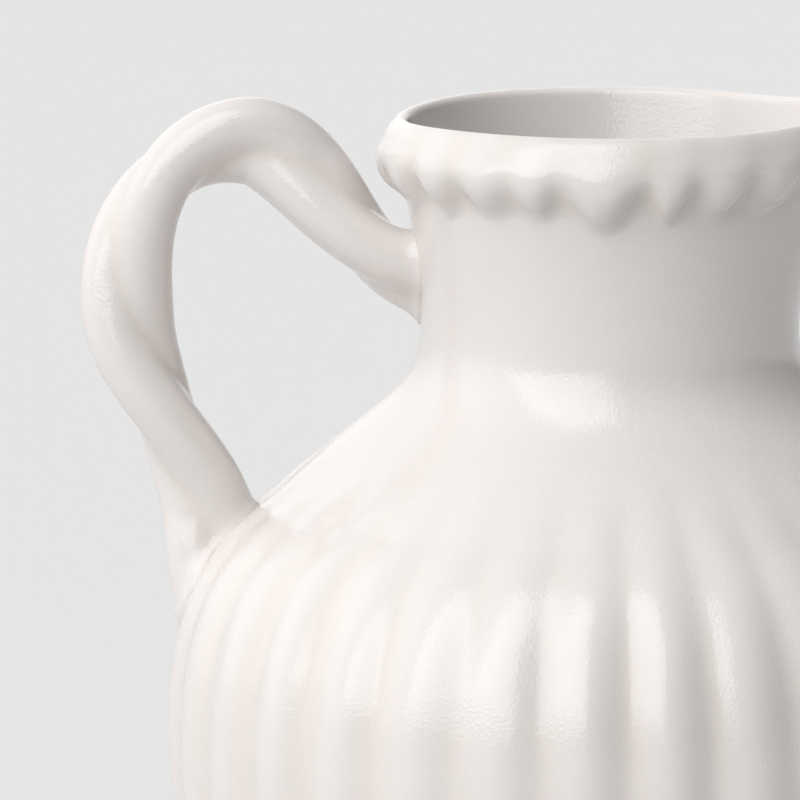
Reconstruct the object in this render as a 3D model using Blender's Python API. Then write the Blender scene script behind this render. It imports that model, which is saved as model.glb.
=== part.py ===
"""A stoneware pitcher, luted together from its clay pieces.

A fluted body stands on a trimmed foot slab. A plain neck rises out of it and flares into a lip
that is drawn out to a small spout. A gathered collar hangs below the lip. The handle is two clay
coils twisted round each other, and a wad of clay roots it on the neck and another on the shoulder.

Units are metres and +Z is up. The origin is on the pot's axis, in the plane it stands on. The
handle is on the -X side and the spout on the +X side. Heights are measured from the origin unless
a name says otherwise.
"""

import math

import bmesh
import bpy
import numpy as np

# Joints: the slip-filled gap that every two luted pieces keep between them.
LUTING_GAP = 0.0003

# Foot slab
FOOT_RADIUS = 0.058
FOOT_THICKNESS = 0.0065
FOOT_RING_WIDTH = 0.009
FOOT_RECESS = 0.0015
FOOT_EDGE = 0.0012

# Fluted body
BASE_RADIUS = 0.062
BELLY_RADIUS = 0.1006
BELLY_HEIGHT = 0.102
SHOULDER_RADIUS = 0.0755
SHOULDER_HEIGHT = 0.154
SHOULDER_SLOPE = math.radians(43)
BASE_FLARE = (0.0193, 0.0193)
BELLY_LEAD_BELOW = 0.0430
BELLY_LEAD_ABOVE = 0.0390
SHOULDER_LEAD_BELOW = 0.0060
SHOULDER_LEAD_ABOVE = 0.0290
BODY_WALL = 0.005
FLUTES = 30
FLUTE_DEPTH = 0.0022
FLUTE_SOFTNESS = 0.35
FLUTE_FADE = 0.030

# Neck and lip
NECK_JOINT_HEIGHT = 0.170
WAIST_RADIUS = 0.0427
WAIST_HEIGHT = 0.1915
WAIST_LEAD_BELOW = 0.0158
WAIST_LEAD_ABOVE = 0.0136
LIP_FLARE = (0.0029, 0.0150)
RIM_HEIGHT = 0.240
MOUTH_RADIUS = 0.0454
NECK_WALL = 0.0036
SPOUT_REACH = 0.011
SPOUT_RISE = 0.0030
SPOUT_SHARPNESS = 12

# Gathered collar
COLLAR_PROUD = 0.0040
COLLAR_TOP_DROP = 0.0024
COLLAR_HEIGHT = 0.0202
COLLAR_EDGE = 0.0005
GATHERS = 22
GATHER_SHARE = 0.20
SCALLOP_DROP = 0.0014

# Handle
COIL_RADIUS = 0.0069
COIL_OFFSET = 0.0034
HANDLE_TURNS = 1.25
HANDLE_START_TURN = -0.25
HANDLE_TIGHTENING = 0.42
ROOT_BELOW_COLLAR = 0.0144
RISE_CLEAR_OF_COLLAR = 0.0045
RISE_BELOW_COLLAR = 0.0066
ARCH_TOP_DROP = 0.0064
GRIP_DROP = 0.0400
GRIP_STANDOFF = 0.0087
GRIP_LEAD_ABOVE = 0.0180
GRIP_LEAD_BELOW = 0.0150
BEND_ABOVE_LOWER_ROOT = (-0.0070, 0.0240)
BEND_LEAD = (0.0060, -0.0104)
ARCH_CLEAR_OF_COLLAR = 0.0313
ARCH_LEAD_IN = 0.0120
ARCH_LEAD_OUT_SHARE = 0.56
LOWER_ROOT_HEIGHT = 0.1410
LOWER_ROOT_LEAD = 0.0065
LOWER_TAIL = (0.0045, -0.0170)
LOWER_TAIL_LEAD = (0.0030, -0.0120)
UPPER_ROOT_DEPTH = 0.0060
UPPER_WAD_LENGTH = 0.0140
LOWER_WAD_LENGTH = 0.0396
WAD_HALF_WIDTH = 0.0105
WAD_HALF_DEPTH = 0.0088

# How finely the round shapes are faceted
CURVE_STEPS = 60
BODY_SEGMENTS = 4 * FLUTES
NECK_SEGMENTS = 60
COLLAR_SEGMENTS = 4 * GATHERS
COIL_STATIONS = 42
COIL_ARC_POINTS = 10

# Levels that follow from the sizes above
BODY_BOTTOM = FOOT_THICKNESS + LUTING_GAP
BODY_TOP = NECK_JOINT_HEIGHT - LUTING_GAP
LIP_RADIUS = NECK_WALL / 2
LIP_OUTER_RADIUS = MOUTH_RADIUS + NECK_WALL
LIP_HEIGHT = RIM_HEIGHT - LIP_RADIUS
COLLAR_TOP = RIM_HEIGHT - COLLAR_TOP_DROP
COLLAR_BOTTOM = COLLAR_TOP - COLLAR_HEIGHT
COLLAR_RADIUS = LIP_OUTER_RADIUS + COLLAR_PROUD
UPPER_ROOT_HEIGHT = COLLAR_BOTTOM - ROOT_BELOW_COLLAR


# ---------------------------------------------------------------- curves

def bezier(start, lead_out, lead_in, end, steps):
    """Points of one cubic curve, ends included."""
    t = np.linspace(0, 1, steps + 1)[:, None]
    weights = ((1 - t) ** 3, 3 * t * (1 - t) ** 2, 3 * t**2 * (1 - t), t**3)
    return sum(w * np.array(p) for w, p in zip(weights, (start, lead_out, lead_in, end)))


def chain(curves):
    """Curves that meet end to end, as one run of points."""
    return np.vstack([curves[0]] + [curve[1:] for curve in curves[1:]])


def spaced(points, count):
    """The same line as count points, equally far apart along it."""
    steps = np.linalg.norm(np.diff(points, axis=0), axis=1)
    along = np.concatenate([[0], np.cumsum(steps)])
    places = np.linspace(0, along[-1], count)
    return np.column_stack([np.interp(places, along, column) for column in points.T])


def inward(points, distance):
    """A line of (radius, height) points moved square to itself, towards the pot's inside."""
    ahead = np.gradient(points, axis=0)
    ahead /= np.linalg.norm(ahead, axis=1)[:, None]
    return points + distance * np.column_stack([-ahead[:, 1], ahead[:, 0]])


def between(points, low, high, count):
    """The stretch of a rising line from height low to height high, as count points."""
    heights = points[:, 1]
    inside = points[(heights > low) & (heights < high)]
    ends = [(np.interp(level, heights, points[:, 0]), level) for level in (low, high)]
    return spaced(np.vstack([ends[0], inside, ends[1]]), count)


def pot_outline():
    """The outside of the pot from the foot to the lip, as (radius, height) points."""
    slope = np.array([-math.cos(SHOULDER_SLOPE), math.sin(SHOULDER_SLOPE)])
    base = np.array([BASE_RADIUS, BODY_BOTTOM])
    belly = np.array([BELLY_RADIUS, BELLY_HEIGHT])
    shoulder = np.array([SHOULDER_RADIUS, SHOULDER_HEIGHT])
    waist = np.array([WAIST_RADIUS, WAIST_HEIGHT])
    lip = np.array([LIP_OUTER_RADIUS, LIP_HEIGHT])
    return chain([
        bezier(base, base + BASE_FLARE, belly - (0, BELLY_LEAD_BELOW), belly, CURVE_STEPS),
        bezier(belly, belly + (0, BELLY_LEAD_ABOVE),
               shoulder - SHOULDER_LEAD_BELOW * slope, shoulder, CURVE_STEPS),
        bezier(shoulder, shoulder + SHOULDER_LEAD_ABOVE * slope,
               waist - (0, WAIST_LEAD_BELOW), waist, CURVE_STEPS),
        bezier(waist, waist + (0, WAIST_LEAD_ABOVE), lip - LIP_FLARE, lip, CURVE_STEPS),
    ])


OUTLINE = pot_outline()
BODY_WALL_LINE = between(OUTLINE, BODY_BOTTOM, BODY_TOP, 15)
NECK_WALL_LINE = between(OUTLINE, NECK_JOINT_HEIGHT, LIP_HEIGHT, 11)


def radius_at(height):
    """The pot's outside radius at a height, on the crest of a flute."""
    return float(np.interp(height, OUTLINE[:, 1], OUTLINE[:, 0]))


# ---------------------------------------------------------------- Blender helpers

def clear_scene():
    for obj in list(bpy.data.objects):
        bpy.data.objects.remove(obj, do_unlink=True)


def clay(name, colour, roughness):
    """A fired-clay finish."""
    material = bpy.data.materials.new(name)
    material.use_nodes = True
    shader = material.node_tree.nodes["Principled BSDF"]
    shader.inputs["Base Color"].default_value = (*colour, 1)
    shader.inputs["Roughness"].default_value = roughness
    shader.inputs["Metallic"].default_value = 0
    material.diffuse_color = (*colour, 1)
    return material


def added(name, mesh_maker, material):
    """A new object whose mesh is what mesh_maker leaves in an empty bmesh, closed and smooth."""
    shape = bmesh.new()
    mesh_maker(shape)
    bmesh.ops.remove_doubles(shape, verts=shape.verts, dist=1e-6)
    bmesh.ops.recalc_face_normals(shape, faces=shape.faces)
    mesh = bpy.data.meshes.new(name)
    shape.to_mesh(mesh)
    shape.free()
    mesh.shade_smooth()
    mesh.set_sharp_from_angle(angle=math.radians(40))
    obj = bpy.data.objects.new(name, mesh)
    bpy.context.scene.collection.objects.link(obj)
    if material:
        mesh.materials.append(material)
    return obj


def turned(name, section, segments, material, closed=True, rule=None):
    """A section of (radius, height) points spun round the pot's axis.

    An open section starts and ends on the axis. rule(radius, angle, height) moves each point of
    the spun surface to a new radius and height.
    """
    def spin(shape):
        verts = [shape.verts.new((radius, 0, height)) for radius, height in section]
        pairs = list(zip(verts, verts[1:]))
        if closed:
            pairs.append((verts[-1], verts[0]))
        edges = [shape.edges.new(pair) for pair in pairs]
        bmesh.ops.spin(shape, geom=verts + edges, cent=(0, 0, 0), axis=(0, 0, 1), dvec=(0, 0, 0),
                       angle=2 * math.pi, steps=segments, use_merge=True)
        if rule is None:
            return
        for vert in shape.verts:
            angle = math.atan2(vert.co.y, vert.co.x)
            radius, height = rule(math.hypot(vert.co.x, vert.co.y), angle, vert.co.z)
            vert.co = (radius * math.cos(angle), radius * math.sin(angle), height)

    return added(name, spin, material)


def lofted(name, rings, material):
    """A solid through rings of points, each ring a closed loop with as many points as the next."""
    def loft(shape):
        loops = [[shape.verts.new(point) for point in ring] for ring in rings]
        count = len(loops[0])
        for near, far in zip(loops, loops[1:]):
            for i in range(count):
                j = (i + 1) % count
                shape.faces.new((near[i], near[j], far[j], far[i]))
        shape.faces.new(loops[0])
        shape.faces.new(loops[-1])

    return added(name, loft, material)


def cut_away(obj, cutter):
    """Takes the cutter's space out of obj, and keeps the cutter as a wire guide."""
    cutter.hide_render = True
    cutter.display_type = "WIRE"
    cut = obj.modifiers.new("fit_" + cutter.name, "BOOLEAN")
    cut.operation = "DIFFERENCE"
    cut.solver = "EXACT"
    cut.object = cutter


# ---------------------------------------------------------------- shape rules

def flute_share(angle):
    """0 on the crest of a flute and 1 in the furrow between two: round crests, narrow furrows."""
    wave = math.hypot(math.cos(FLUTES / 2 * angle), FLUTE_SOFTNESS)
    crest = math.hypot(1, FLUTE_SOFTNESS)
    return (crest - wave) / (crest - FLUTE_SOFTNESS)


def flute_strength(height):
    """The flutes die out towards the neck joint and towards the foot."""
    top = (BODY_TOP - height) / FLUTE_FADE
    bottom = (height - BODY_BOTTOM) / FLUTE_FADE
    share = min(1, max(0, top), max(0, bottom))
    return share * share * (3 - 2 * share)


def fluted(radius, angle, height):
    """Moves only the outside wall of the body, which lies within half a wall of the outline."""
    outside = radius > radius_at(height) - BODY_WALL / 2
    if outside:
        radius -= FLUTE_DEPTH * flute_share(angle) * flute_strength(height)
    return radius, height


def spout_pull(angle, height):
    """How far the lip is drawn out: all the way at the rim's +X point, not at all at the waist."""
    climb = min(1, max(0, (height - WAIST_HEIGHT) / (RIM_HEIGHT - WAIST_HEIGHT)))
    return max(0, math.cos(angle)) ** SPOUT_SHARPNESS * climb * climb


def spouted(radius, angle, height):
    pull = spout_pull(angle, height)
    return radius + SPOUT_REACH * pull, height + SPOUT_RISE * pull


def gather_wave(angle):
    """1 on a gather and -1 between two. The gathers are pinched by hand, so they aren't even."""
    wander = 0.05 * math.sin(3 * angle + 1) + 0.03 * math.sin(5 * angle + 2)
    return math.cos(GATHERS * (angle + wander))


def gathered(radius, angle, height):
    """Swells and scallops the outside of the collar, then draws it out with the lip."""
    proud = max(0, radius - radius_at(height) - LUTING_GAP)
    hang = (COLLAR_TOP - height) / COLLAR_HEIGHT
    fullness = proud / (COLLAR_RADIUS - WAIST_RADIUS)
    radius += GATHER_SHARE * proud * gather_wave(angle) - GATHER_SHARE * proud
    height -= SCALLOP_DROP * fullness * hang * (1 + gather_wave(angle))
    return spouted(radius, angle, height)


# ---------------------------------------------------------------- turned pieces

def make_foot(material):
    """A slab that is the pot's floor. Trimming left a ring round a shallow recess below it."""
    ring_inside = FOOT_RADIUS - FOOT_RING_WIDTH
    section = [
        (0, FOOT_RECESS),
        (ring_inside - FOOT_RECESS, FOOT_RECESS),
        (ring_inside, 0),
        (FOOT_RADIUS - FOOT_EDGE, 0),
        (FOOT_RADIUS, FOOT_EDGE),
        (BASE_RADIUS, FOOT_THICKNESS - FOOT_EDGE / 2),
        (BASE_RADIUS - FOOT_EDGE / 4, FOOT_THICKNESS),
        (0, FOOT_THICKNESS),
    ]
    return turned("foot_slab", section, NECK_SEGMENTS, material, closed=False)


def make_body(material):
    inside = between(inward(OUTLINE, BODY_WALL), BODY_BOTTOM, BODY_TOP, 8)
    section = np.vstack([BODY_WALL_LINE, inside[::-1]])
    return turned("fluted_body", section, BODY_SEGMENTS, material, rule=fluted)


def make_neck(material):
    """A ring that opens upwards, with a round lip."""
    inside = between(inward(OUTLINE, NECK_WALL), NECK_JOINT_HEIGHT, LIP_HEIGHT, 8)
    centre = LIP_OUTER_RADIUS - LIP_RADIUS
    turns = np.linspace(0, math.pi, 5)[1:-1]
    lip = [(centre + LIP_RADIUS * math.cos(a), LIP_HEIGHT + LIP_RADIUS * math.sin(a)) for a in turns]
    section = np.vstack([NECK_WALL_LINE, lip, inside[::-1]])
    return turned("neck", section, NECK_SEGMENTS, material, rule=spouted)


def make_collar(material):
    """A strip of clay gathered round the neck, full below and thin where it meets the lip."""
    low = (radius_at(COLLAR_BOTTOM) + LUTING_GAP + COLLAR_EDGE, COLLAR_BOTTOM)
    high = (radius_at(COLLAR_TOP) + LUTING_GAP + COLLAR_EDGE, COLLAR_TOP)
    outside = bezier(low,
                     (COLLAR_RADIUS - 0.0035, COLLAR_BOTTOM - COLLAR_EDGE),
                     (COLLAR_RADIUS + 0.0045, COLLAR_TOP - 0.3 * COLLAR_HEIGHT),
                     high, 8)
    backs = between(OUTLINE, COLLAR_BOTTOM, COLLAR_TOP, 4) + (LUTING_GAP, 0)
    section = np.vstack([outside, backs[::-1]])
    return turned("gathered_collar", section, COLLAR_SEGMENTS, material, rule=gathered)


# ---------------------------------------------------------------- handle

def handle_path():
    """The middle line of the handle in the XZ plane, from inside the neck to inside the body."""
    upper = np.array([-radius_at(UPPER_ROOT_HEIGHT), UPPER_ROOT_HEIGHT])
    rise = np.array([-COLLAR_RADIUS - RISE_CLEAR_OF_COLLAR, COLLAR_BOTTOM - RISE_BELOW_COLLAR])
    arch = np.array([-COLLAR_RADIUS - ARCH_CLEAR_OF_COLLAR, RIM_HEIGHT - ARCH_TOP_DROP])
    grip = np.array([-BELLY_RADIUS - GRIP_STANDOFF, RIM_HEIGHT - GRIP_DROP])
    lower = np.array([-radius_at(LOWER_ROOT_HEIGHT), LOWER_ROOT_HEIGHT])
    bend = lower + BEND_ABOVE_LOWER_ROOT
    into_neck = (upper - rise) / np.linalg.norm(upper - rise)
    buried = upper + UPPER_ROOT_DEPTH * into_neck
    arch_lead_out = (ARCH_LEAD_OUT_SHARE * (arch[0] - grip[0]), 0)
    return chain([
        np.linspace(buried, upper, CURVE_STEPS),
        bezier(upper, rise, arch + (ARCH_LEAD_IN, 0), arch, CURVE_STEPS),
        bezier(arch, arch - arch_lead_out, grip + (0, GRIP_LEAD_ABOVE), grip, CURVE_STEPS),
        bezier(grip, grip - (0, GRIP_LEAD_BELOW), bend - BEND_LEAD, bend, CURVE_STEPS),
        bezier(bend, bend + BEND_LEAD, lower + (0, LOWER_ROOT_LEAD), lower, CURVE_STEPS),
        bezier(lower, lower - (0, LOWER_ROOT_LEAD), lower + LOWER_TAIL_LEAD, lower + LOWER_TAIL,
               CURVE_STEPS),
    ])


PATH = handle_path()
PATH_STEPS = np.linalg.norm(np.diff(PATH, axis=0), axis=1)
PATH_ALONG = np.concatenate([[0], np.cumsum(PATH_STEPS)])
PATH_LENGTH = float(PATH_ALONG[-1])

# Both wads are measured from their buried ends.
UPPER_WAD_END = UPPER_WAD_LENGTH
LOWER_WAD_START = PATH_LENGTH - LOWER_WAD_LENGTH


def path_frame(along):
    """The point at a distance along the handle, and its outward and sideways directions."""
    def point(place):
        x, z = (np.interp(place, PATH_ALONG, column) for column in PATH.T)
        return np.array([x, 0, z])

    ahead = point(along + 0.0015) - point(along - 0.0015)
    ahead /= np.linalg.norm(ahead)
    outward = np.array([ahead[2], 0, -ahead[0]])
    sideways = np.array([0, 1, 0])
    return point(along), outward, sideways


def twist(along):
    """How far the pair of coils has turned. The twist tightens towards the body."""
    share = (along - UPPER_WAD_END) / (LOWER_WAD_START - UPPER_WAD_END)
    eased = (1 - HANDLE_TIGHTENING) * share + HANDLE_TIGHTENING * share**2
    return 2 * math.pi * (HANDLE_START_TURN + HANDLE_TURNS * eased)


def coil_section(side):
    """One coil of the pair: round outside, and flat where it was pressed against the other."""
    reach = math.acos((LUTING_GAP / 2 - COIL_OFFSET) / COIL_RADIUS)
    turns = np.linspace(-reach, reach, COIL_ARC_POINTS)
    return [(side * (COIL_OFFSET + COIL_RADIUS * math.cos(a)), COIL_RADIUS * math.sin(a))
            for a in turns]


def make_coil(name, side, material):
    section = coil_section(side)
    rings = []
    for along in np.linspace(UPPER_WAD_END + LUTING_GAP, LOWER_WAD_START - LUTING_GAP, COIL_STATIONS):
        middle, outward, sideways = path_frame(along)
        turn = twist(along)
        across = math.cos(turn) * outward - math.sin(turn) * sideways
        along_flat = math.sin(turn) * outward + math.cos(turn) * sideways
        rings.append([middle + a * across + b * along_flat for a, b in section])
    return lofted(name, rings, material)


def make_wad(name, start, end, half_widths, material):
    """An oval wad of clay along a stretch of the handle's middle line."""
    turns = np.linspace(0, 2 * math.pi, 16, endpoint=False)
    rings = []
    for along in np.linspace(start, end, len(half_widths)):
        middle, outward, sideways = path_frame(along)
        half_width = half_widths[len(rings)]
        half_depth = WAD_HALF_DEPTH * half_width / WAD_HALF_WIDTH
        rings.append([middle + half_width * math.cos(a) * outward + half_depth * math.sin(a) * sideways
                      for a in turns])
    return lofted(name, rings, material)


def make_space(name, wall, segments):
    """The room that the pot takes up inside a wall line, with the luting gap round it."""
    grown = inward(wall, -LUTING_GAP)
    section = np.vstack([[(0, grown[0, 1])], grown, [(0, grown[-1, 1])]])
    return turned(name, section, segments, None, closed=False)


def make_upper_wad(material):
    wad = make_wad("upper_handle_root", 0.0005, UPPER_WAD_END,
                   (WAD_HALF_WIDTH, WAD_HALF_WIDTH, 0.93 * WAD_HALF_WIDTH, 0.86 * WAD_HALF_WIDTH), material)
    cut_away(wad, make_space("neck_space", NECK_WALL_LINE, NECK_SEGMENTS))
    return wad


def make_lower_wad(material):
    wad = make_wad("lower_handle_root", LOWER_WAD_START, PATH_LENGTH - 0.0005,
                   (WAD_HALF_WIDTH,) * 7 + (0.9 * WAD_HALF_WIDTH,), material)
    cut_away(wad, make_space("body_space", BODY_WALL_LINE, BODY_SEGMENTS))
    return wad


# ---------------------------------------------------------------- the pitcher

clear_scene()

GLAZE = clay("white_glaze", (0.86, 0.83, 0.80), 0.18)
BARE_CLAY = clay("bare_stoneware", (0.72, 0.64, 0.54), 0.75)

make_foot(BARE_CLAY)
make_body(GLAZE)
make_neck(GLAZE)
make_collar(GLAZE)
make_coil("handle_coil_outer", 1, GLAZE)
make_coil("handle_coil_inner", -1, GLAZE)
make_upper_wad(GLAZE)
make_lower_wad(GLAZE)
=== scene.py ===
# %% [markdown]
# # A fluted stoneware pitcher, modelled and glazed in Blender
#
# The pitcher is a studio pot: a bellied body with pressed flutes, a plain neck, a strip of clay
# gathered round the rim like a ruffle, and a handle of two clay rolls twisted together. A warm
# white glaze covers everything but the foot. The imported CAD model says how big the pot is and
# where each piece sits. This file gives every piece its final surface and finish.

# %% Load the frame
import math

import bmesh
import bpy
import numpy as np
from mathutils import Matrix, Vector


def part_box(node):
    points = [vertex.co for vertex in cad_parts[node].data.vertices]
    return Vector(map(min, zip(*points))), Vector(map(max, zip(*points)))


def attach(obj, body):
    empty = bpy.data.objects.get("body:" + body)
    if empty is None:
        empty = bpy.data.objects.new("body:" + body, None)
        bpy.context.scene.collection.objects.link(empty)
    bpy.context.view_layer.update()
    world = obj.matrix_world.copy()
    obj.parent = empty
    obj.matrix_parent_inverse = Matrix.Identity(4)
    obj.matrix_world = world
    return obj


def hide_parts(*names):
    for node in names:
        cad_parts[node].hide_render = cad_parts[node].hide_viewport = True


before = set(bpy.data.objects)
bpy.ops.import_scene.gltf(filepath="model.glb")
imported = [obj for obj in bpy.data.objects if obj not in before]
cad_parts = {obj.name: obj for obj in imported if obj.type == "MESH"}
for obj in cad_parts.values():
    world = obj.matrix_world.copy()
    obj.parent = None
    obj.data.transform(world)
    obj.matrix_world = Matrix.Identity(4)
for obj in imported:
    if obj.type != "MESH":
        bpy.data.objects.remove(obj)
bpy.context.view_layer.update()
MM = 0.001

# %% [markdown]
# ## The camera
#
# The pitcher is seen from above its rim, so that the mouth is a flat oval. A wide lens close by
# would make the far side of the mouth shrink. A long lens from 1.5 m away keeps the perspective
# calm, and frames the handle, the mouth and the shoulder. The numbers were worked out together:
# how flat the mouth's oval is gives the height, the rim's size gives the lens, and the places of
# the rim and of the pot's middle line give the two angles.

# %% Camera
CAMERA_DISTANCE = 1.5
CAMERA_HEIGHT = 0.4263
LENS_MM, SENSOR_MM = 302.96, 36
LOOK_DOWN = math.radians(9.532)
LOOK_LEFT = math.radians(1.806)


def add_camera():
    data = bpy.data.cameras.new("product_camera")
    data.lens = LENS_MM
    data.sensor_width = SENSOR_MM
    data.clip_end = 100
    camera = bpy.data.objects.new("product_camera", data)
    camera.location = (0, -CAMERA_DISTANCE, CAMERA_HEIGHT)
    camera.rotation_euler = (math.pi / 2 - LOOK_DOWN, 0, LOOK_LEFT)
    bpy.context.scene.collection.objects.link(camera)
    bpy.context.scene.camera = camera
    return camera


camera = add_camera()
print("camera", tuple(round(c, 3) for c in camera.location), "lens", LENS_MM)

# %% [markdown]
# ## Curves
#
# A potter thinks in profiles, and a profile is a curve. Each one here is a few Bezier curves
# joined end to end and turned into a run of points with numpy. The helpers space the points
# evenly, move a profile inwards by the thickness of the wall, or cut it at two heights.

# %% Curve helpers
def bezier(start, lead_out, lead_in, end, steps=40):
    """Points of one cubic curve, ends included."""
    t = np.linspace(0, 1, steps + 1)[:, None]
    weights = ((1 - t) ** 3, 3 * t * (1 - t) ** 2, 3 * t**2 * (1 - t), t**3)
    return sum(w * np.array(p, float) for w, p in zip(weights, (start, lead_out, lead_in, end)))


def chain(*curves):
    """Curves that meet end to end, as one run of points."""
    return np.vstack([curves[0]] + [curve[1:] for curve in curves[1:]])


def lengths(points):
    """How far along the line each point is."""
    steps = np.linalg.norm(np.diff(points, axis=0), axis=1)
    return np.concatenate([[0], np.cumsum(steps)])


def spaced(points, count):
    """The same line as count points, equally far apart along it."""
    along = lengths(points)
    places = np.linspace(0, along[-1], count)
    return np.column_stack([np.interp(places, along, column) for column in points.T])


def heading(points):
    """The direction of the line at each point, one unit long."""
    ahead = np.gradient(points, axis=0)
    return ahead / np.linalg.norm(ahead, axis=1)[:, None]


def inward(points, distance):
    """A rising line of (radius, height) points moved square to itself, towards the inside."""
    ahead = heading(points)
    return points + distance * np.column_stack([-ahead[:, 1], ahead[:, 0]])


def clipped(points, low, high):
    """The stretch of a rising line between two heights."""
    radii, heights = points.T
    keep = points[(heights > low) & (heights < high)]
    ends = [(np.interp(level, heights, radii), level) for level in (low, high)]
    return np.vstack([ends[0], keep, ends[1]])


def smooth_step(value):
    """0 below 0, 1 above 1, and a soft S between them."""
    value = np.clip(value, 0, 1)
    return value * value * (3 - 2 * value)


print("curve helpers ready")

# %% [markdown]
# ## Skins
#
# Every piece is a skin stretched over a grid of points: each square of four neighbours is one
# face. A grid lets one rule, such as the depth of a flute, act on every point at once. The skin
# also stores one number for each point, which the glaze reads later to paint shade into the
# hollows.

# %% Skin helpers
def tidy_normals(mesh, sharp_angle):
    """Merges points that coincide, turns every face outwards and shades the mesh smooth."""
    shape = bmesh.new()
    shape.from_mesh(mesh)
    bmesh.ops.remove_doubles(shape, verts=shape.verts, dist=0.001 * MM)
    bmesh.ops.recalc_face_normals(shape, faces=shape.faces)
    shape.to_mesh(mesh)
    shape.free()
    mesh.shade_smooth()
    mesh.set_sharp_from_angle(angle=math.radians(sharp_angle))


def skin(name, grid, wrap_rows=False, cap_ends=False, sharp_angle=32, crease_shade=None):
    """A mesh object over grid[row, column]. Columns always wrap round; rows wrap if asked.

    The last argument is an optional grid of 0 to 1 that says where shade is painted into the glaze.
    """
    rows, columns = grid.shape[:2]
    index = np.arange(rows * columns).reshape(rows, columns)
    lower = index if wrap_rows else index[:-1]
    upper = np.roll(index, -1, axis=0) if wrap_rows else index[1:]
    quads = np.stack([lower, np.roll(lower, -1, axis=1), np.roll(upper, -1, axis=1), upper], axis=-1)
    faces = quads.reshape(-1, 4).tolist()
    if cap_ends:
        faces += [index[0].tolist(), index[-1].tolist()]
    mesh = bpy.data.meshes.new(name)
    mesh.from_pydata(grid.reshape(-1, 3).tolist(), [], faces)
    layer = mesh.attributes.new("crease_shade", "FLOAT", "POINT")
    values = np.zeros(rows * columns) if crease_shade is None else np.broadcast_to(crease_shade, (rows, columns)).ravel()
    layer.data.foreach_set("value", values.astype(np.float32))
    tidy_normals(mesh, sharp_angle)
    obj = bpy.data.objects.new(name, mesh)
    bpy.context.scene.collection.objects.link(obj)
    print(f"{name}: {len(mesh.vertices)} points, {len(mesh.polygons)} faces")
    return obj


def spun(radii, heights, angles):
    """Points of a turned surface; radii and heights are grids over (row, angle)."""
    return np.stack([radii * np.cos(angles), radii * np.sin(angles), heights + 0 * radii], axis=-1)


def whole_turn(count):
    """Evenly spaced angles round the pot, as one row."""
    return np.linspace(0, 2 * math.pi, count, endpoint=False)[None, :]


print("skin helpers ready")

# %% [markdown]
# ## The pot's outline
#
# The pot is drawn as half a silhouette: out from the foot to the belly, round the shoulder, in
# to the waist of the neck and out again to the lip. Its numbers are metres in the CAD model's
# frame. The same line serves the body and the neck, so their surfaces run on without a step.

# %% Outline
RIM = 0.240
BODY_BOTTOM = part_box("fluted_body")[0].z
BASE_RADIUS = 0.062
BELLY_RADIUS, BELLY_HEIGHT = 0.1000, 0.102
WAIST_RADIUS, WAIST_HEIGHT = 0.0427, 0.1915
LIP_CENTRE, LIP_RADIUS = 0.0472, 0.0018
NECK_JOINT = 0.172
BODY_WALL, NECK_WALL = 0.005, 0.0036
SHOULDER = np.array([0.0755, 0.154])
SHOULDER_SLOPE = np.array([-math.cos(math.radians(43)), math.sin(math.radians(43))])

OUTLINE = chain(
    bezier((BASE_RADIUS, BODY_BOTTOM), (0.0813, 0.0261), (BELLY_RADIUS, 0.059), (BELLY_RADIUS, BELLY_HEIGHT)),
    bezier((BELLY_RADIUS, BELLY_HEIGHT), (BELLY_RADIUS, 0.141), SHOULDER - 0.006 * SHOULDER_SLOPE, SHOULDER),
    bezier(SHOULDER, SHOULDER + 0.029 * SHOULDER_SLOPE, (WAIST_RADIUS, 0.1757), (WAIST_RADIUS, WAIST_HEIGHT)),
    bezier((WAIST_RADIUS, WAIST_HEIGHT), (WAIST_RADIUS, 0.2051), (0.0461, 0.2232), (0.0490, 0.2382)),
)


def outline_radius(heights):
    return np.interp(heights, OUTLINE[:, 1], OUTLINE[:, 0])


print("outline from", OUTLINE[0] / MM, "to", OUTLINE[-1] / MM)

# %% [markdown]
# ## The spout
#
# A spout is made last, while the rim is still soft: two fingers hold it and a thumb draws it
# out. That pull moves the rim most at one angle and fades down to the waist. So it is one rule
# for any point near the rim, and the neck and the collar both follow it.

# %% Spout rule
SPOUT_REACH, SPOUT_RISE, SPOUT_SHARPNESS = 0.011, 0.003, 12
HANDLE_SIDE_SAG, SAG_SHARPNESS = 0.0010, 6


def spouted(radii, heights, angles):
    """Draws the rim out into a pouring lip at +X, and lets it sag a little at the handle."""
    climb = np.clip((heights - WAIST_HEIGHT) / (RIM - WAIST_HEIGHT), 0, 1) ** 2
    pull = np.maximum(0, np.cos(angles)) ** SPOUT_SHARPNESS * climb
    sag = np.maximum(0, -np.cos(angles)) ** SAG_SHARPNESS * climb
    return radii + SPOUT_REACH * pull, heights + SPOUT_RISE * pull - HANDLE_SIDE_SAG * sag


print("spout reaches", SPOUT_REACH / MM, "mm past the rim")

# %% [markdown]
# ## The flutes
#
# The flutes are broad, round-crested ribs with narrower furrows between them. A plain wave would
# make ribs and furrows alike. The size of a wave, without its sign, has round crests and a sharp
# valley, and the softness then rounds the valley's bottom. Hand work is never even, so the
# furrows wander sideways and vary in depth as they go round.

# %% Flute rule
FLUTES, FLUTE_DEPTH, FLUTE_SOFTNESS = 30, 0.0018, 0.55
FLUTE_TURN, FLUTE_DRIFT = -0.052, 0.073
LEAN, LEAN_START, LEAN_REACH = 0.04, 0.09, 0.08
SHOULDER_FADE, FOOT_FADE = 0.044, 0.024


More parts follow.
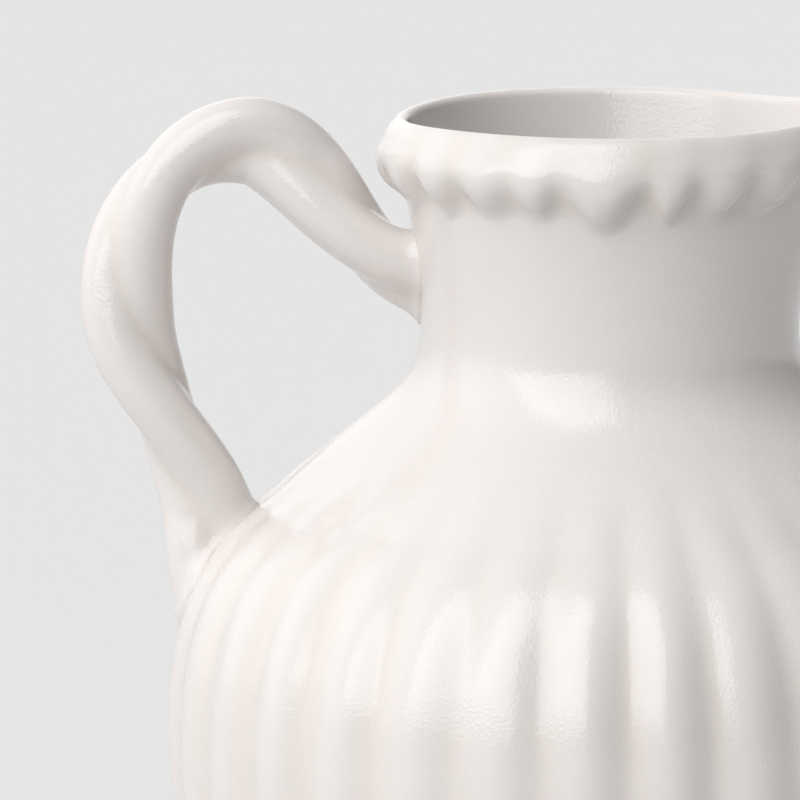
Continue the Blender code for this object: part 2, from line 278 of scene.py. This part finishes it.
def furrows(angles, heights):
    """How deep the wall is pressed in, as a share: 0 on a crest and about 1 in a furrow."""
    facing = angles + math.pi / 2
    climb = np.clip((heights - LEAN_START) / LEAN_REACH, 0, 1)
    lean = LEAN * climb * np.maximum(0, np.sin(2 * facing))
    wander = FLUTE_DRIFT * np.sin(facing) + FLUTE_TURN + lean
    wave = np.hypot(np.cos(FLUTES / 2 * (angles + wander)), FLUTE_SOFTNESS)
    crest = math.hypot(1, FLUTE_SOFTNESS)
    uneven = 1 + 0.20 * np.sin(7 * facing + 1.0) + 0.08 * np.sin(3 * facing)
    fade = smooth_step((NECK_JOINT - heights) / SHOULDER_FADE)
    fade = fade * smooth_step((heights - BODY_BOTTOM) / FOOT_FADE)
    return fade * uneven * (crest - wave) / (crest - FLUTE_SOFTNESS)


print(FLUTES, "flutes,", FLUTE_DEPTH / MM, "mm deep")

# %% [markdown]
# ## The body
#
# The body is the lower part of the outline, spun round. Its outside takes the flutes and its
# inside stays smooth, as it came off the wheel. The two skins join at the top and the bottom, so
# the wall is a closed solid with a real thickness.

# %% Fluted body
BODY_COLUMNS, BODY_ROWS, BODY_INSIDE_ROWS = 18 * FLUTES, 150, 50


def make_body():
    angles = whole_turn(BODY_COLUMNS)
    outside = spaced(clipped(OUTLINE, BODY_BOTTOM, NECK_JOINT), BODY_ROWS)
    inside = spaced(clipped(inward(OUTLINE, BODY_WALL), BODY_BOTTOM, NECK_JOINT), BODY_INSIDE_ROWS)[::-1]
    furrow = furrows(angles, outside[:, 1:2])
    outer = spun(outside[:, :1] - FLUTE_DEPTH * furrow, outside[:, 1:2], angles)
    inner = spun(inside[:, :1] + 0 * angles, inside[:, 1:2], angles)
    # Painted shade: the glaze is darkened in each furrow, as much as the furrow is deep.
    crease_shade = np.vstack([furrow, np.zeros((len(inside), angles.size))])
    return skin("body_glazed", np.vstack([outer, inner]), wrap_rows=True, crease_shade=crease_shade)


body = make_body()

# %% [markdown]
# ## The neck
#
# The neck is the upper part of the same outline. At the top the wall turns over in a small
# half-round lip, which a potter shapes with a strip of wet leather. Outside, lip and inside are
# one closed section, so they spin into one skin.

# %% Neck
NECK_COLUMNS, NECK_ROWS, NECK_INSIDE_ROWS, LIP_STEPS = 360, 70, 60, 14


def make_neck():
    angles = whole_turn(NECK_COLUMNS)
    lip_base = RIM - LIP_RADIUS
    outside = spaced(clipped(OUTLINE, NECK_JOINT, lip_base), NECK_ROWS)
    inside = spaced(clipped(inward(OUTLINE, NECK_WALL), NECK_JOINT, lip_base), NECK_INSIDE_ROWS)
    turns = np.linspace(0, math.pi, LIP_STEPS + 1)[1:-1]
    lip = np.column_stack([LIP_CENTRE + LIP_RADIUS * np.cos(turns), lip_base + LIP_RADIUS * np.sin(turns)])
    section = np.vstack([outside, lip, inside[::-1]])
    radii, heights = spouted(section[:, :1] + 0 * angles, section[:, 1:2], angles)
    return skin("neck_glazed", spun(radii, heights, angles), wrap_rows=True)


neck = make_neck()

# %% [markdown]
# ## Gathers and tucks
#
# A soft strip of clay was pushed into gathers with a fingertip all round the rim. Each gather
# hangs full and round. Between two of them the clay is tucked back towards the neck. So the strip
# has two profiles, one down the middle of a gather and one down a tuck, which are the same near
# the lip and part below it.

# %% Gathers and tucks
# One row for each tuck: where it is in degrees (0 is the front, positive is to the right) and how
# deep, then how far the gather to the right of it hangs and how full it is.
TUCKS = [
    (-168, 0.6, 0.94, 0.90), (-153, 0.5, 0.98, 1.00), (-138, 0.7, 0.93, 0.85), (-122, 0.6, 0.98, 1.00),
    (-107, 0.5, 0.94, 0.90), (-92, 0.7, 0.97, 0.95), (-76, 0.5, 0.98, 0.95), (-58, 0.8, 0.99, 0.95),
    (-42, 0.75, 0.95, 1.00), (-26, 0.6, 0.96, 0.95), (-13, 0.8, 1.06, 1.05), (9, 0.95, 0.99, 0.95),
    (22, 0.85, 0.97, 0.98), (38, 0.9, 0.92, 1.05), (55, 0.8, 0.94, 0.90), (70, 0.7, 0.96, 1.00),
    (86, 0.5, 0.94, 0.90), (101, 0.7, 0.98, 0.95), (115, 0.5, 0.94, 0.85), (130, 0.6, 0.99, 1.00),
    (146, 0.7, 0.94, 0.90), (162, 0.5, 0.97, 0.95), (177, 0.7, 0.94, 0.85),
]
TUCK_HANG, PLUMPNESS = 0.95, 1.2

# Both profiles are (radius, distance below the rim) in millimetres.
ROLL = bezier((47.2, 0.00), (48.6, -0.04), (49.9, 1.7), (50.9, 3.9))
GATHER_LINE = chain(
    ROLL,
    bezier((50.9, 3.9), (51.9, 6.0), (52.9, 7.4), (52.9, 9.6)),
    bezier((52.9, 9.6), (52.9, 12.6), (51.6, 15.2), (48.8, 17.2)),
    bezier((48.8, 17.2), (46.6, 18.8), (43.5, 21.0), (38.0, 24.0)),
) * MM
TUCK_LINE = chain(
    ROLL,
    bezier((50.9, 3.9), (51.6, 5.5), (52.0, 6.9), (51.9, 8.4)),
    bezier((51.9, 8.4), (51.7, 10.4), (49.8, 12.4), (47.2, 14.8)),
    bezier((47.2, 14.8), (45.0, 16.8), (42.4, 20.0), (38.0, 24.0)),
) * MM


def gather_shares(angles):
    """How full the strip is at each angle (0 in a deep tuck), and how far its edge hangs."""
    table = np.array(TUCKS + [(TUCKS[0][0] + 360, *TUCKS[0][1:])])
    facing = np.mod(np.degrees(angles) + 90 + 180, 360) - 180
    turned = np.where(facing < table[0, 0], facing + 360, facing)
    place = np.clip(np.searchsorted(table[:, 0], turned, side="right") - 1, 0, len(TUCKS) - 1)
    between = (turned - table[place, 0]) / (table[place + 1, 0] - table[place, 0])
    swell = 1 - np.abs(np.cos(math.pi * between)) ** (2 * PLUMPNESS)
    depth = np.where(between < 0.5, table[place, 1], table[place + 1, 1])
    fullness = 1 - depth + (depth - 1 + table[place, 3]) * swell
    return fullness, TUCK_HANG + (table[place, 2] - TUCK_HANG) * swell


print(len(TUCKS), "gathers round the rim")

# %% [markdown]
# ## The collar
#
# The strip's lower edge was smoothed on to the neck with a wet finger, and glaze then filled
# what corner was left. So the height by which the strip stands proud of the neck is eased to
# nothing, and it ends without an edge. Its back is buried just inside the neck's wall.

# %% Gathered collar
COLLAR_COLUMNS, BACK_ROWS = 720, 12
HANG_REACH = 0.016
FILLET, FILLET_START, EDGE_SINK = 0.0024, 0.010, 0.000008
BACK_BOTTOM, BACK_TOP, BACK_DEPTH = 0.0270, 0.0010, 0.0014


def filled_corner(radii, drops):
    """The strip's radii, with the corner that it makes with the neck rounded out."""
    neck_radii = outline_radius(RIM - drops)
    proud = radii - neck_radii
    eased = np.where(np.abs(proud) < FILLET, (proud + FILLET) ** 2 / (4 * FILLET), np.maximum(proud, 0))
    return np.where(drops > FILLET_START, neck_radii + eased - EDGE_SINK, radii)


def make_collar():
    angles = whole_turn(COLLAR_COLUMNS)
    share, hang = gather_shares(angles)
    radii = TUCK_LINE[:, :1] + (GATHER_LINE[:, :1] - TUCK_LINE[:, :1]) * share
    drops = TUCK_LINE[:, 1:2] + (GATHER_LINE[:, 1:2] - TUCK_LINE[:, 1:2]) * share
    drops = drops * (1 + (hang - 1) * smooth_step(drops / HANG_REACH))
    radii = filled_corner(radii, drops)
    back_drops = np.linspace(BACK_BOTTOM, BACK_TOP, BACK_ROWS)[:, None] + 0 * angles
    radii = np.vstack([radii, outline_radius(RIM - back_drops) - BACK_DEPTH])
    heights = RIM - np.vstack([drops, back_drops])
    # Painted shade: the glaze is darkened in the tucks between the gathers.
    crease_shade = np.vstack([(1 - share) * np.ones((len(GATHER_LINE), 1)), 0 * back_drops])
    radii, heights = spouted(radii, heights, angles)
    return skin("collar_glazed", spun(radii, heights, angles), wrap_rows=True, crease_shade=crease_shade)


collar = make_collar()

# %% [markdown]
# ## The twisted handle
#
# Two rolls of clay were laid side by side, twisted together and bent into a loop. The loop is in
# line with the spout, so its middle line is a flat curve: out of the neck, over the top and down
# to the shoulder. The pair of rolls turns evenly along it, like the strands of a rope.

# %% Handle path
# The curve's points are (across, up) in millimetres. They are the rounded result of a least-squares
# fit to the loop's two edges, as are the turn that the twist starts at and the length of one turn.
HANDLE = chain(
    bezier((-38.3, 201.8), (-40.0, 202.3), (-41.7, 202.8), (-43.3, 203.4)),
    bezier((-43.3, 203.4), (-60.0, 208.0), (-68.0, 233.2), (-82.0, 233.2)),
    bezier((-82.0, 233.2), (-99.6, 233.2), (-109.0, 215.7), (-109.0, 200.3)),
    bezier((-109.0, 200.3), (-109.0, 188.5), (-107.0, 184.5), (-99.6, 169.4)),
    bezier((-99.6, 169.4), (-90.9, 151.6), (-90.2, 148.6), (-90.2, 141.5)),
    bezier((-90.2, 141.5), (-90.2, 135.0), (-89.2, 129.0), (-87.6, 124.0)),
) * MM
STATIONS = 300
UPPER_ROOT_END, LOWER_ROOT_START = 0.0140, 0.1420
START_TURN, TURN_LENGTH = -0.30, 0.1125


def handle_frames():
    """Points along the handle, the direction out of the loop there, and how far along they are."""
    points = spaced(HANDLE, STATIONS)
    ahead = heading(points)
    middle = np.column_stack([points[:, 0], 0 * points[:, 0], points[:, 1]])
    outward = np.column_stack([ahead[:, 1], 0 * ahead[:, 0], -ahead[:, 0]])
    return middle, outward, lengths(points)


def twist(along):
    """The angle of the pair of coils, in radians."""
    return 2 * math.pi * (START_TURN + (along - UPPER_ROOT_END) / TURN_LENGTH)


print("handle path", round(handle_frames()[2][-1] / MM, 1), "mm long")

# %% [markdown]
# ## The handle's surface
#
# The two rolls melted into each other where they touch, so the seam is a soft groove and not a
# crack. Two separate tubes would meet in a sharp line. Here the section is one outline, two
# circles with the corners between them rounded, and it is swept along the middle line while it
# turns. Close to the pot it swells, as clay does when it is pressed on.

# %% Handle surface
COIL_RADIUS, COIL_OFFSET, GROOVE_SOFTNESS = 0.0073, 0.0031, 0.45
FLARE, FLARE_REACH = 0.0016, 0.0016
# SEAM_WIDTH is how wide the painted shade along the grooves is.
ROUND, SEAM_WIDTH = 96, 0.05


def depth_outside(points):
    """How far points are outside the pot's outline. It is negative inside the clay."""
    return np.hypot(points[..., 0], points[..., 1]) - outline_radius(points[..., 2])


def handle_surface():
    """The whole handle as one grid of points: rows along it, columns round it."""
    middle, outward, along = handle_frames()
    round_it = np.linspace(0, 2 * math.pi, ROUND, endpoint=False)
    crest = math.hypot(1, GROOVE_SOFTNESS) - GROOVE_SOFTNESS
    blend = (np.hypot(np.cos(round_it), GROOVE_SOFTNESS) - GROOVE_SOFTNESS) / crest
    reach = COIL_OFFSET * blend + np.sqrt(COIL_RADIUS**2 - (COIL_OFFSET * np.sin(round_it)) ** 2)
    angle = twist(along)[:, None] + round_it[None, :]
    away = np.cos(angle)[..., None] * outward[:, None, :]
    away[..., 1] -= np.sin(angle)
    surface = middle[:, None, :] + reach[None, :, None] * away
    flare = FLARE * np.exp(-np.maximum(depth_outside(surface), 0) / FLARE_REACH)
    # Painted shade: the glaze is darkened along the two grooves where the coils meet.
    crease_shade = np.exp(-(1 - np.abs(np.sin(round_it))) / SEAM_WIDTH) * np.ones((STATIONS, 1))
    return surface + flare[..., None] * away, crease_shade, along


HANDLE_SURFACE, HANDLE_GROOVE_SHADE, HANDLE_ALONG = handle_surface()
HANDLE_THICKNESS = np.ptp(HANDLE_SURFACE[..., 1])


def row_at(along):
    return int(np.argmin(np.abs(HANDLE_ALONG - along)))


print("handle surface", HANDLE_SURFACE.shape, "thickest", round(HANDLE_THICKNESS / MM, 1), "mm")

# %% [markdown]
# ## The two coils
#
# Each coil is half of that surface, cut along the two grooves, where a cut shows least. A face
# down the middle closes each half, where the two rolls are pressed together.

# %% Coils
QUARTER = ROUND // 4


def make_coil(name, first, last):
    """Half of the joined section, from column first to column last, between the two roots."""
    columns = np.arange(first, last + 1) % ROUND
    rows = np.arange(row_at(UPPER_ROOT_END), row_at(LOWER_ROOT_START) + 1)
    part = np.ix_(rows, columns)
    return skin(name, HANDLE_SURFACE[part], cap_ends=True, sharp_angle=50, crease_shade=HANDLE_GROOVE_SHADE[part])


coil_a = make_coil("handle_coil_a_glazed", -QUARTER, QUARTER)
coil_b = make_coil("handle_coil_b_glazed", QUARTER, 3 * QUARTER)

# %% [markdown]
# ## The two roots
#
# A handle is fixed with slip, a creamy clay glue, and the joint is smoothed with a wet finger.
# The clay flares where it meets the pot. The upper root starts a little under the neck's surface,
# so each line along it is cut where it enters the clay. The lower root runs down the side of the
# belly as a wedge, and its back is pressed flat against the wall.

# %% Roots
UPPER_BURIED, LOWER_BURIED = 0.0018, 0.0030
UPPER_ROWS, TAIL_DEPTH = 40, 0.0010


def make_upper_root():
    last = row_at(UPPER_ROOT_END)
    outside = depth_outside(HANDLE_SURFACE[:last + 1])
    rows = np.arange(last + 1)
    entry = np.array([np.interp(-UPPER_BURIED, outside[:, c], rows) for c in range(ROUND)])
    place = entry + (last - entry) * np.linspace(0, 1, UPPER_ROWS)[:, None]
    before = np.minimum(place.astype(int), last - 1)
    share = (place - before)[..., None]
    columns = np.arange(ROUND)
    grid = HANDLE_SURFACE[before, columns] * (1 - share) + HANDLE_SURFACE[before + 1, columns] * share
    return skin("upper_root_glazed", grid, cap_ends=True, sharp_angle=50, crease_shade=HANDLE_GROOVE_SHADE[:UPPER_ROWS])


def make_lower_root():
    grid = HANDLE_SURFACE[row_at(LOWER_ROOT_START):]
    grid = grid[depth_outside(grid).max(axis=1) > -TAIL_DEPTH]
    radius = np.hypot(grid[..., 0], grid[..., 1])
    push = 1 + np.maximum(-LOWER_BURIED - depth_outside(grid), 0) / radius
    grid = grid * np.stack([push, push, np.ones_like(push)], axis=-1)
    return skin("lower_root_glazed", grid, cap_ends=True, sharp_angle=50, crease_shade=HANDLE_GROOVE_SHADE[:len(grid)])


upper_root = make_upper_root()
lower_root = make_lower_root()

# %% [markdown]
# ## The foot
#
# A potter trims the floor of a pot to a ring round a shallow recess, so that it stands steady,
# and wipes the glaze off it, so that it doesn't stick to the kiln shelf. The ring's edges are
# rounded. The whole slab is one section, spun round the middle.

# %% Foot slab
FOOT_COLUMNS = 240
FOOT_SECTION = np.array([
    (0.0, 1.5), (20, 1.5), (47.0, 1.5), (48.2, 1.2), (49.0, 0.4), (49.6, 0.0),
    (56.6, 0.0), (57.4, 0.3), (58.0, 1.2), (60.5, 4.3), (61.9, 6.2),
    (61.6, 6.5), (30, 6.5), (0.0, 6.5),
]) * MM


def make_foot():
    angles = whole_turn(FOOT_COLUMNS)
    grid = spun(FOOT_SECTION[:, :1] + 0 * angles, FOOT_SECTION[:, 1:2], angles)
    return skin("foot_bare", grid, sharp_angle=40)


foot = make_foot()

# %% [markdown]
# ## Finishes
#
# Both finishes are built from nodes. A small function turns a colour as it is written on screen
# into the linear values that the shaders use. Another adds one node with its settings and links,
# which keeps each material short enough to read as a recipe.

# %% Material helpers
def srgb(text):
    """An sRGB hex colour as the linear RGBA that Blender's shaders use."""
    parts = [int(text[i:i + 2], 16) / 255 for i in (1, 3, 5)]
    linear = [c / 12.92 if c <= 0.04045 else ((c + 0.055) / 1.055) ** 2.4 for c in parts]
    return (*linear, 1)


def node(tree, kind, settings=None, **links):
    """Adds a node, sets its properties and inputs, and links its inputs to other outputs."""
    made = tree.nodes.new(kind)
    for key, value in (settings or {}).items():
        if isinstance(key, int) or key in made.inputs:
            made.inputs[key].default_value = value
        else:
            setattr(made, key, value)
    for key, source in links.items():
        tree.links.new(source, made.inputs[key.replace("_", " ")])
    return made


def new_material(name):
    material = bpy.data.materials.new(name)
    material.use_nodes = True
    material.node_tree.nodes.clear()
    return material, material.node_tree


print("middle grey as a linear value:", round(srgb("#808080")[0], 3))

# %% [markdown]
# ## The white glaze
#
# Glazed stoneware is a layer of glass over pale clay. The glass gives clear, nearly mirror-like
# reflections, and the clay under it scatters light, so it looks bright and slightly soft. Glass
# has an IOR of about 1.5. The fired surface is not quite flat: it has a fine grain, and it sags in
# broad waves a centimetre or two across. Shade is painted into the colour in furrows, tucks and
# grooves, as far as the number stored in each skin says, and a cloudy tint varies the tone at random.

# %% Warm white glaze
# A noise scale is how many blobs fit in a metre. The grain is one blob in 0.7 mm, coarser than on
# the real glaze, so that it shows. The waves are 17 mm across, and the cloudy tint 45 mm.
GRAIN_SCALE, WAVE_SCALE, CLOUD_SCALE = 1400.0, 60.0, 22.0
# How far painted shade in the hollows and the cloudy tint move the glaze towards the darker colour.
CREASE_SHADE_SHARE, CLOUD_SHARE = 0.45, 0.35
PLAIN_GLAZE, SHADE_AND_CLOUD_GLAZE = "#D5D0CD", "#CDC6C1"


def glazed_stoneware():
    material, tree = new_material("glossy_white_glaze_on_stoneware")
    place = node(tree, "ShaderNodeTexCoord").outputs["Object"]
    grain = node(tree, "ShaderNodeTexNoise", {"Scale": GRAIN_SCALE, "Detail": 2.0, "Roughness": 0.5},
                 Vector=place)
    wave = node(tree, "ShaderNodeTexNoise", {"Scale": WAVE_SCALE, "Detail": 1.0, "Roughness": 0.4},
                Vector=place)
    cloud = node(tree, "ShaderNodeTexNoise", {"Scale": CLOUD_SCALE, "Detail": 3.0, "Roughness": 0.5},
                 Vector=place)
    fine = node(tree, "ShaderNodeBump", {"Strength": 0.40, "Distance": 0.2 * MM}, Height=grain.outputs["Fac"])
    bump = node(tree, "ShaderNodeBump", {"Strength": 0.35, "Distance": 1.2 * MM},
                Height=wave.outputs["Fac"], Normal=fine.outputs["Normal"])
    # Painted shade: the stored number darkens the colour in furrows, tucks and grooves, on top of the cloudy
    # tint.
    crease_shade = node(tree, "ShaderNodeAttribute", {"attribute_name": "crease_shade"})
    cloudy = node(tree, "ShaderNodeMath", {"operation": "MULTIPLY", 1: CLOUD_SHARE},
                  Value=cloud.outputs["Fac"])
    shade_and_cloud = node(tree, "ShaderNodeMath", {"operation": "MULTIPLY_ADD", 1: CREASE_SHADE_SHARE},
                 Value=crease_shade.outputs["Fac"])
    tree.links.new(cloudy.outputs[0], shade_and_cloud.inputs[2])
    tint = node(tree, "ShaderNodeMix", {"data_type": "RGBA", 6: srgb(PLAIN_GLAZE), 7: srgb(SHADE_AND_CLOUD_GLAZE)})
    tree.links.new(shade_and_cloud.outputs[0], tint.inputs[0])
    shader = node(tree, "ShaderNodeBsdfPrincipled", {"Roughness": 0.08, "IOR": 1.5},
                  Normal=bump.outputs["Normal"])
    tree.links.new(tint.outputs[2], shader.inputs["Base Color"])
    node(tree, "ShaderNodeOutputMaterial", {}, Surface=shader.outputs["BSDF"])
    print(material.name, "has", len(tree.nodes), "nodes")
    return material


glaze = glazed_stoneware()

# %% [markdown]
# ## The bare clay
#
# The foot has no glass on it. Fired stoneware is matt and warmer in colour than the glaze, with
# grog in it: ground fired clay that keeps a pot from cracking as it dries. The grains give it a
# speckle and a slight roughness, so one noise drives both the colour and the bump.

# %% Bare stoneware
# The speckle is one grain in 0.7 mm, as coarse grog is.
GROG_SCALE = 1400.0


def bare_stoneware():
    material, tree = new_material("bare_fired_stoneware")
    place = node(tree, "ShaderNodeTexCoord").outputs["Object"]
    grog = node(tree, "ShaderNodeTexNoise", {"Scale": GROG_SCALE, "Detail": 4.0, "Roughness": 0.6},
                Vector=place)
    ramp = node(tree, "ShaderNodeValToRGB", {}, Fac=grog.outputs["Fac"])
    ramp.color_ramp.elements[0].color = srgb("#C9B79F")
    ramp.color_ramp.elements[1].color = srgb("#DFD2BF")
    bump = node(tree, "ShaderNodeBump", {"Strength": 0.5, "Distance": 0.3 * MM}, Height=grog.outputs["Fac"])
    shader = node(tree, "ShaderNodeBsdfPrincipled", {"Roughness": 0.8, "IOR": 1.5},
                  Base_Color=ramp.outputs["Color"], Normal=bump.outputs["Normal"])
    node(tree, "ShaderNodeOutputMaterial", {}, Surface=shader.outputs["BSDF"])
    print(material.name, "has", len(tree.nodes), "nodes")
    return material


clay = bare_stoneware()

# %% [markdown]
# ## Pieces and finishes together
#
# Each skin now gets its finish, and takes the place of the CAD piece that it stands for. The
# whole pitcher is fired into one rigid thing, so every piece rides on the same body.

# %% Assign
PIECES = [
    (body, glaze, "white_glaze", ["fluted_body"]),
    (neck, glaze, "white_glaze", ["neck"]),
    (collar, glaze, "white_glaze", ["gathered_collar"]),
    (coil_a, glaze, "white_glaze", ["handle_coil_outer"]),
    (coil_b, glaze, "white_glaze", ["handle_coil_inner"]),
    (upper_root, glaze, "white_glaze", ["upper_handle_root"]),
    (lower_root, glaze, "white_glaze", ["lower_handle_root"]),
    (foot, clay, "bare_stoneware", ["foot_slab"]),
]
for piece, finish, slot, stands_for in PIECES:
    piece.data.materials.append(finish)
    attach(piece, "root")
    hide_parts(*stands_for)
print(len(PIECES), "pieces ride on the root body")

# %% [markdown]
# ## The floor
#
# The pitcher stands on a sheet of pale matt paper. It is so large that it fills the background of
# the camera's view, so there is no horizon behind the pot.

# %% Floor
FLOOR_REACH = 30.0
FLOOR_CORNERS = [(-FLOOR_REACH, -FLOOR_REACH, 0), (FLOOR_REACH, -FLOOR_REACH, 0),
                 (FLOOR_REACH, FLOOR_REACH, 0), (-FLOOR_REACH, FLOOR_REACH, 0)]


def make_floor():
    mesh = bpy.data.meshes.new("paper_floor")
    mesh.from_pydata(FLOOR_CORNERS, [], [(0, 1, 2, 3)])
    floor = bpy.data.objects.new("paper_floor", mesh)
    bpy.context.scene.collection.objects.link(floor)
    material, tree = new_material("matt_paper")
    shader = node(tree, "ShaderNodeBsdfPrincipled",
                  {"Base Color": srgb("#D6D6D6"), "Roughness": 1.0, "Specular IOR Level": 0.0})
    node(tree, "ShaderNodeOutputMaterial", {}, Surface=shader.outputs["BSDF"])
    mesh.materials.append(material)
    return floor


floor = make_floor()
print("floor reaches", FLOOR_REACH, "m each way")

# %% [markdown]
# ## The light
#
# A glossy pot mirrors the room round it, so the light has to be a whole room and not a few lamps.
# It is drawn in the world's shader by direction: broad soft glows, and one tall window to the
# front left, which the glaze shows as a bright shape with a clean edge. Area lamps could do the
# same work, but some views from other sides would run into them.

# %% Window of light
EDGE_SOFTNESS = 1.5


def window_mask(tree, way, azimuth, elevation, width, height, lean):
    """1 inside a window of light that fills width by height degrees, and 0 outside it.

    Azimuth is measured from the camera's side, positive to the right. Lean is how many degrees
    the window's sides move to the right for each degree that they climb.
    """
    parts = node(tree, "ShaderNodeSeparateXYZ", {}, Vector=way)
    forward = node(tree, "ShaderNodeMath", {"operation": "MULTIPLY", 1: -1.0}, Value=parts.outputs["Y"])
    turn = node(tree, "ShaderNodeMath", {"operation": "ARCTAN2"}, Value=parts.outputs["X"])
    tree.links.new(forward.outputs[0], turn.inputs[1])
    rise = node(tree, "ShaderNodeMath", {"operation": "ARCSINE"}, Value=parts.outputs["Z"])
    above = node(tree, "ShaderNodeMath", {"operation": "SUBTRACT", 1: math.radians(elevation)},
                 Value=rise.outputs[0])
    beside = node(tree, "ShaderNodeMath", {"operation": "SUBTRACT", 1: math.radians(azimuth)},
                  Value=turn.outputs[0])
    leaning = node(tree, "ShaderNodeMath", {"operation": "MULTIPLY_ADD", 1: -lean}, Value=above.outputs[0])
    tree.links.new(beside.outputs[0], leaning.inputs[2])
    masks = []
    for off, spread in ((leaning, width), (above, height)):
        size = node(tree, "ShaderNodeMath", {"operation": "ABSOLUTE"}, Value=off.outputs[0])
        edge = node(tree, "ShaderNodeMapRange", {
            "interpolation_type": "SMOOTHSTEP",
            "From Min": math.radians(spread / 2 + EDGE_SOFTNESS),
            "From Max": math.radians(spread / 2 - EDGE_SOFTNESS),
        }, Value=size.outputs[0])
        masks.append(edge.outputs["Result"])
    both = node(tree, "ShaderNodeMath", {"operation": "MULTIPLY"}, Value=masks[0])
    tree.links.new(masks[1], both.inputs[1])
    return both.outputs[0]


print("window edges are soft over", 2 * EDGE_SOFTNESS, "degrees")

# %% [markdown]
# ## The glows and the world
#
# A glow is brightest in one direction and fades away from it; the higher its power, the tighter
# it is. The strengths were first solved for together, so that the greys round the pot came out
# right, and then adjusted. Adding the glows and the window gives the world's brightness.

# %% World
# Each glow is a direction, a power and a strength.
GLOWS = [
    ((0, 0, 1), 2, 0.78),
    ((-1, 0, 0), 1, 0.60),
    ((0, 1, 0), 1, 0.10),
    ((0, 1, 0.2), 8, 1.08),
    ((-1, 1, 0.6), 6, 0.45),
    ((-1, 0, 0.3), 6, 0.85),
    ((0, -1, 1.5), 6, 0.10),
]
# The window's azimuth, elevation, width and height in degrees, its lean and its strength.
WINDOW, WINDOW_STRENGTH = (-29, 42, 62, 66, 0.15), 2.75


def glow_mask(tree, way, axis, power):
    """A soft glow round one direction."""
    axis = np.array(axis, float) / np.linalg.norm(axis)
    facing = node(tree, "ShaderNodeVectorMath", {"operation": "DOT_PRODUCT", 1: tuple(axis)}, Vector=way)
    front = node(tree, "ShaderNodeMath", {"operation": "MAXIMUM", 1: 0.0}, Value=facing.outputs["Value"])
    glow = node(tree, "ShaderNodeMath", {"operation": "POWER", 1: power}, Value=front.outputs[0])
    return glow.outputs[0]


def make_world():
    world = bpy.data.worlds.new("white_room")
    world.use_nodes = True
    tree = world.node_tree
    tree.nodes.clear()
    way = node(tree, "ShaderNodeTexCoord").outputs["Generated"]
    masks = [(glow_mask(tree, way, axis, power), strength) for axis, power, strength in GLOWS]
    masks.append((window_mask(tree, way, *WINDOW), WINDOW_STRENGTH))
    total = None
    for mask, strength in masks:
        step = node(tree, "ShaderNodeMath", {"operation": "MULTIPLY_ADD", 1: strength, 2: 0.0}, Value=mask)
        if total is not None:
            tree.links.new(total, step.inputs[2])
        total = step.outputs[0]
    sky = node(tree, "ShaderNodeBackground", {"Color": (1, 1, 1, 1)}, Strength=total)
    node(tree, "ShaderNodeOutputWorld", {}, Surface=sky.outputs["Background"])
    bpy.context.scene.world = world


make_world()
bpy.context.scene.view_settings.view_transform = "Standard"
print(len(GLOWS), "glows and one window")
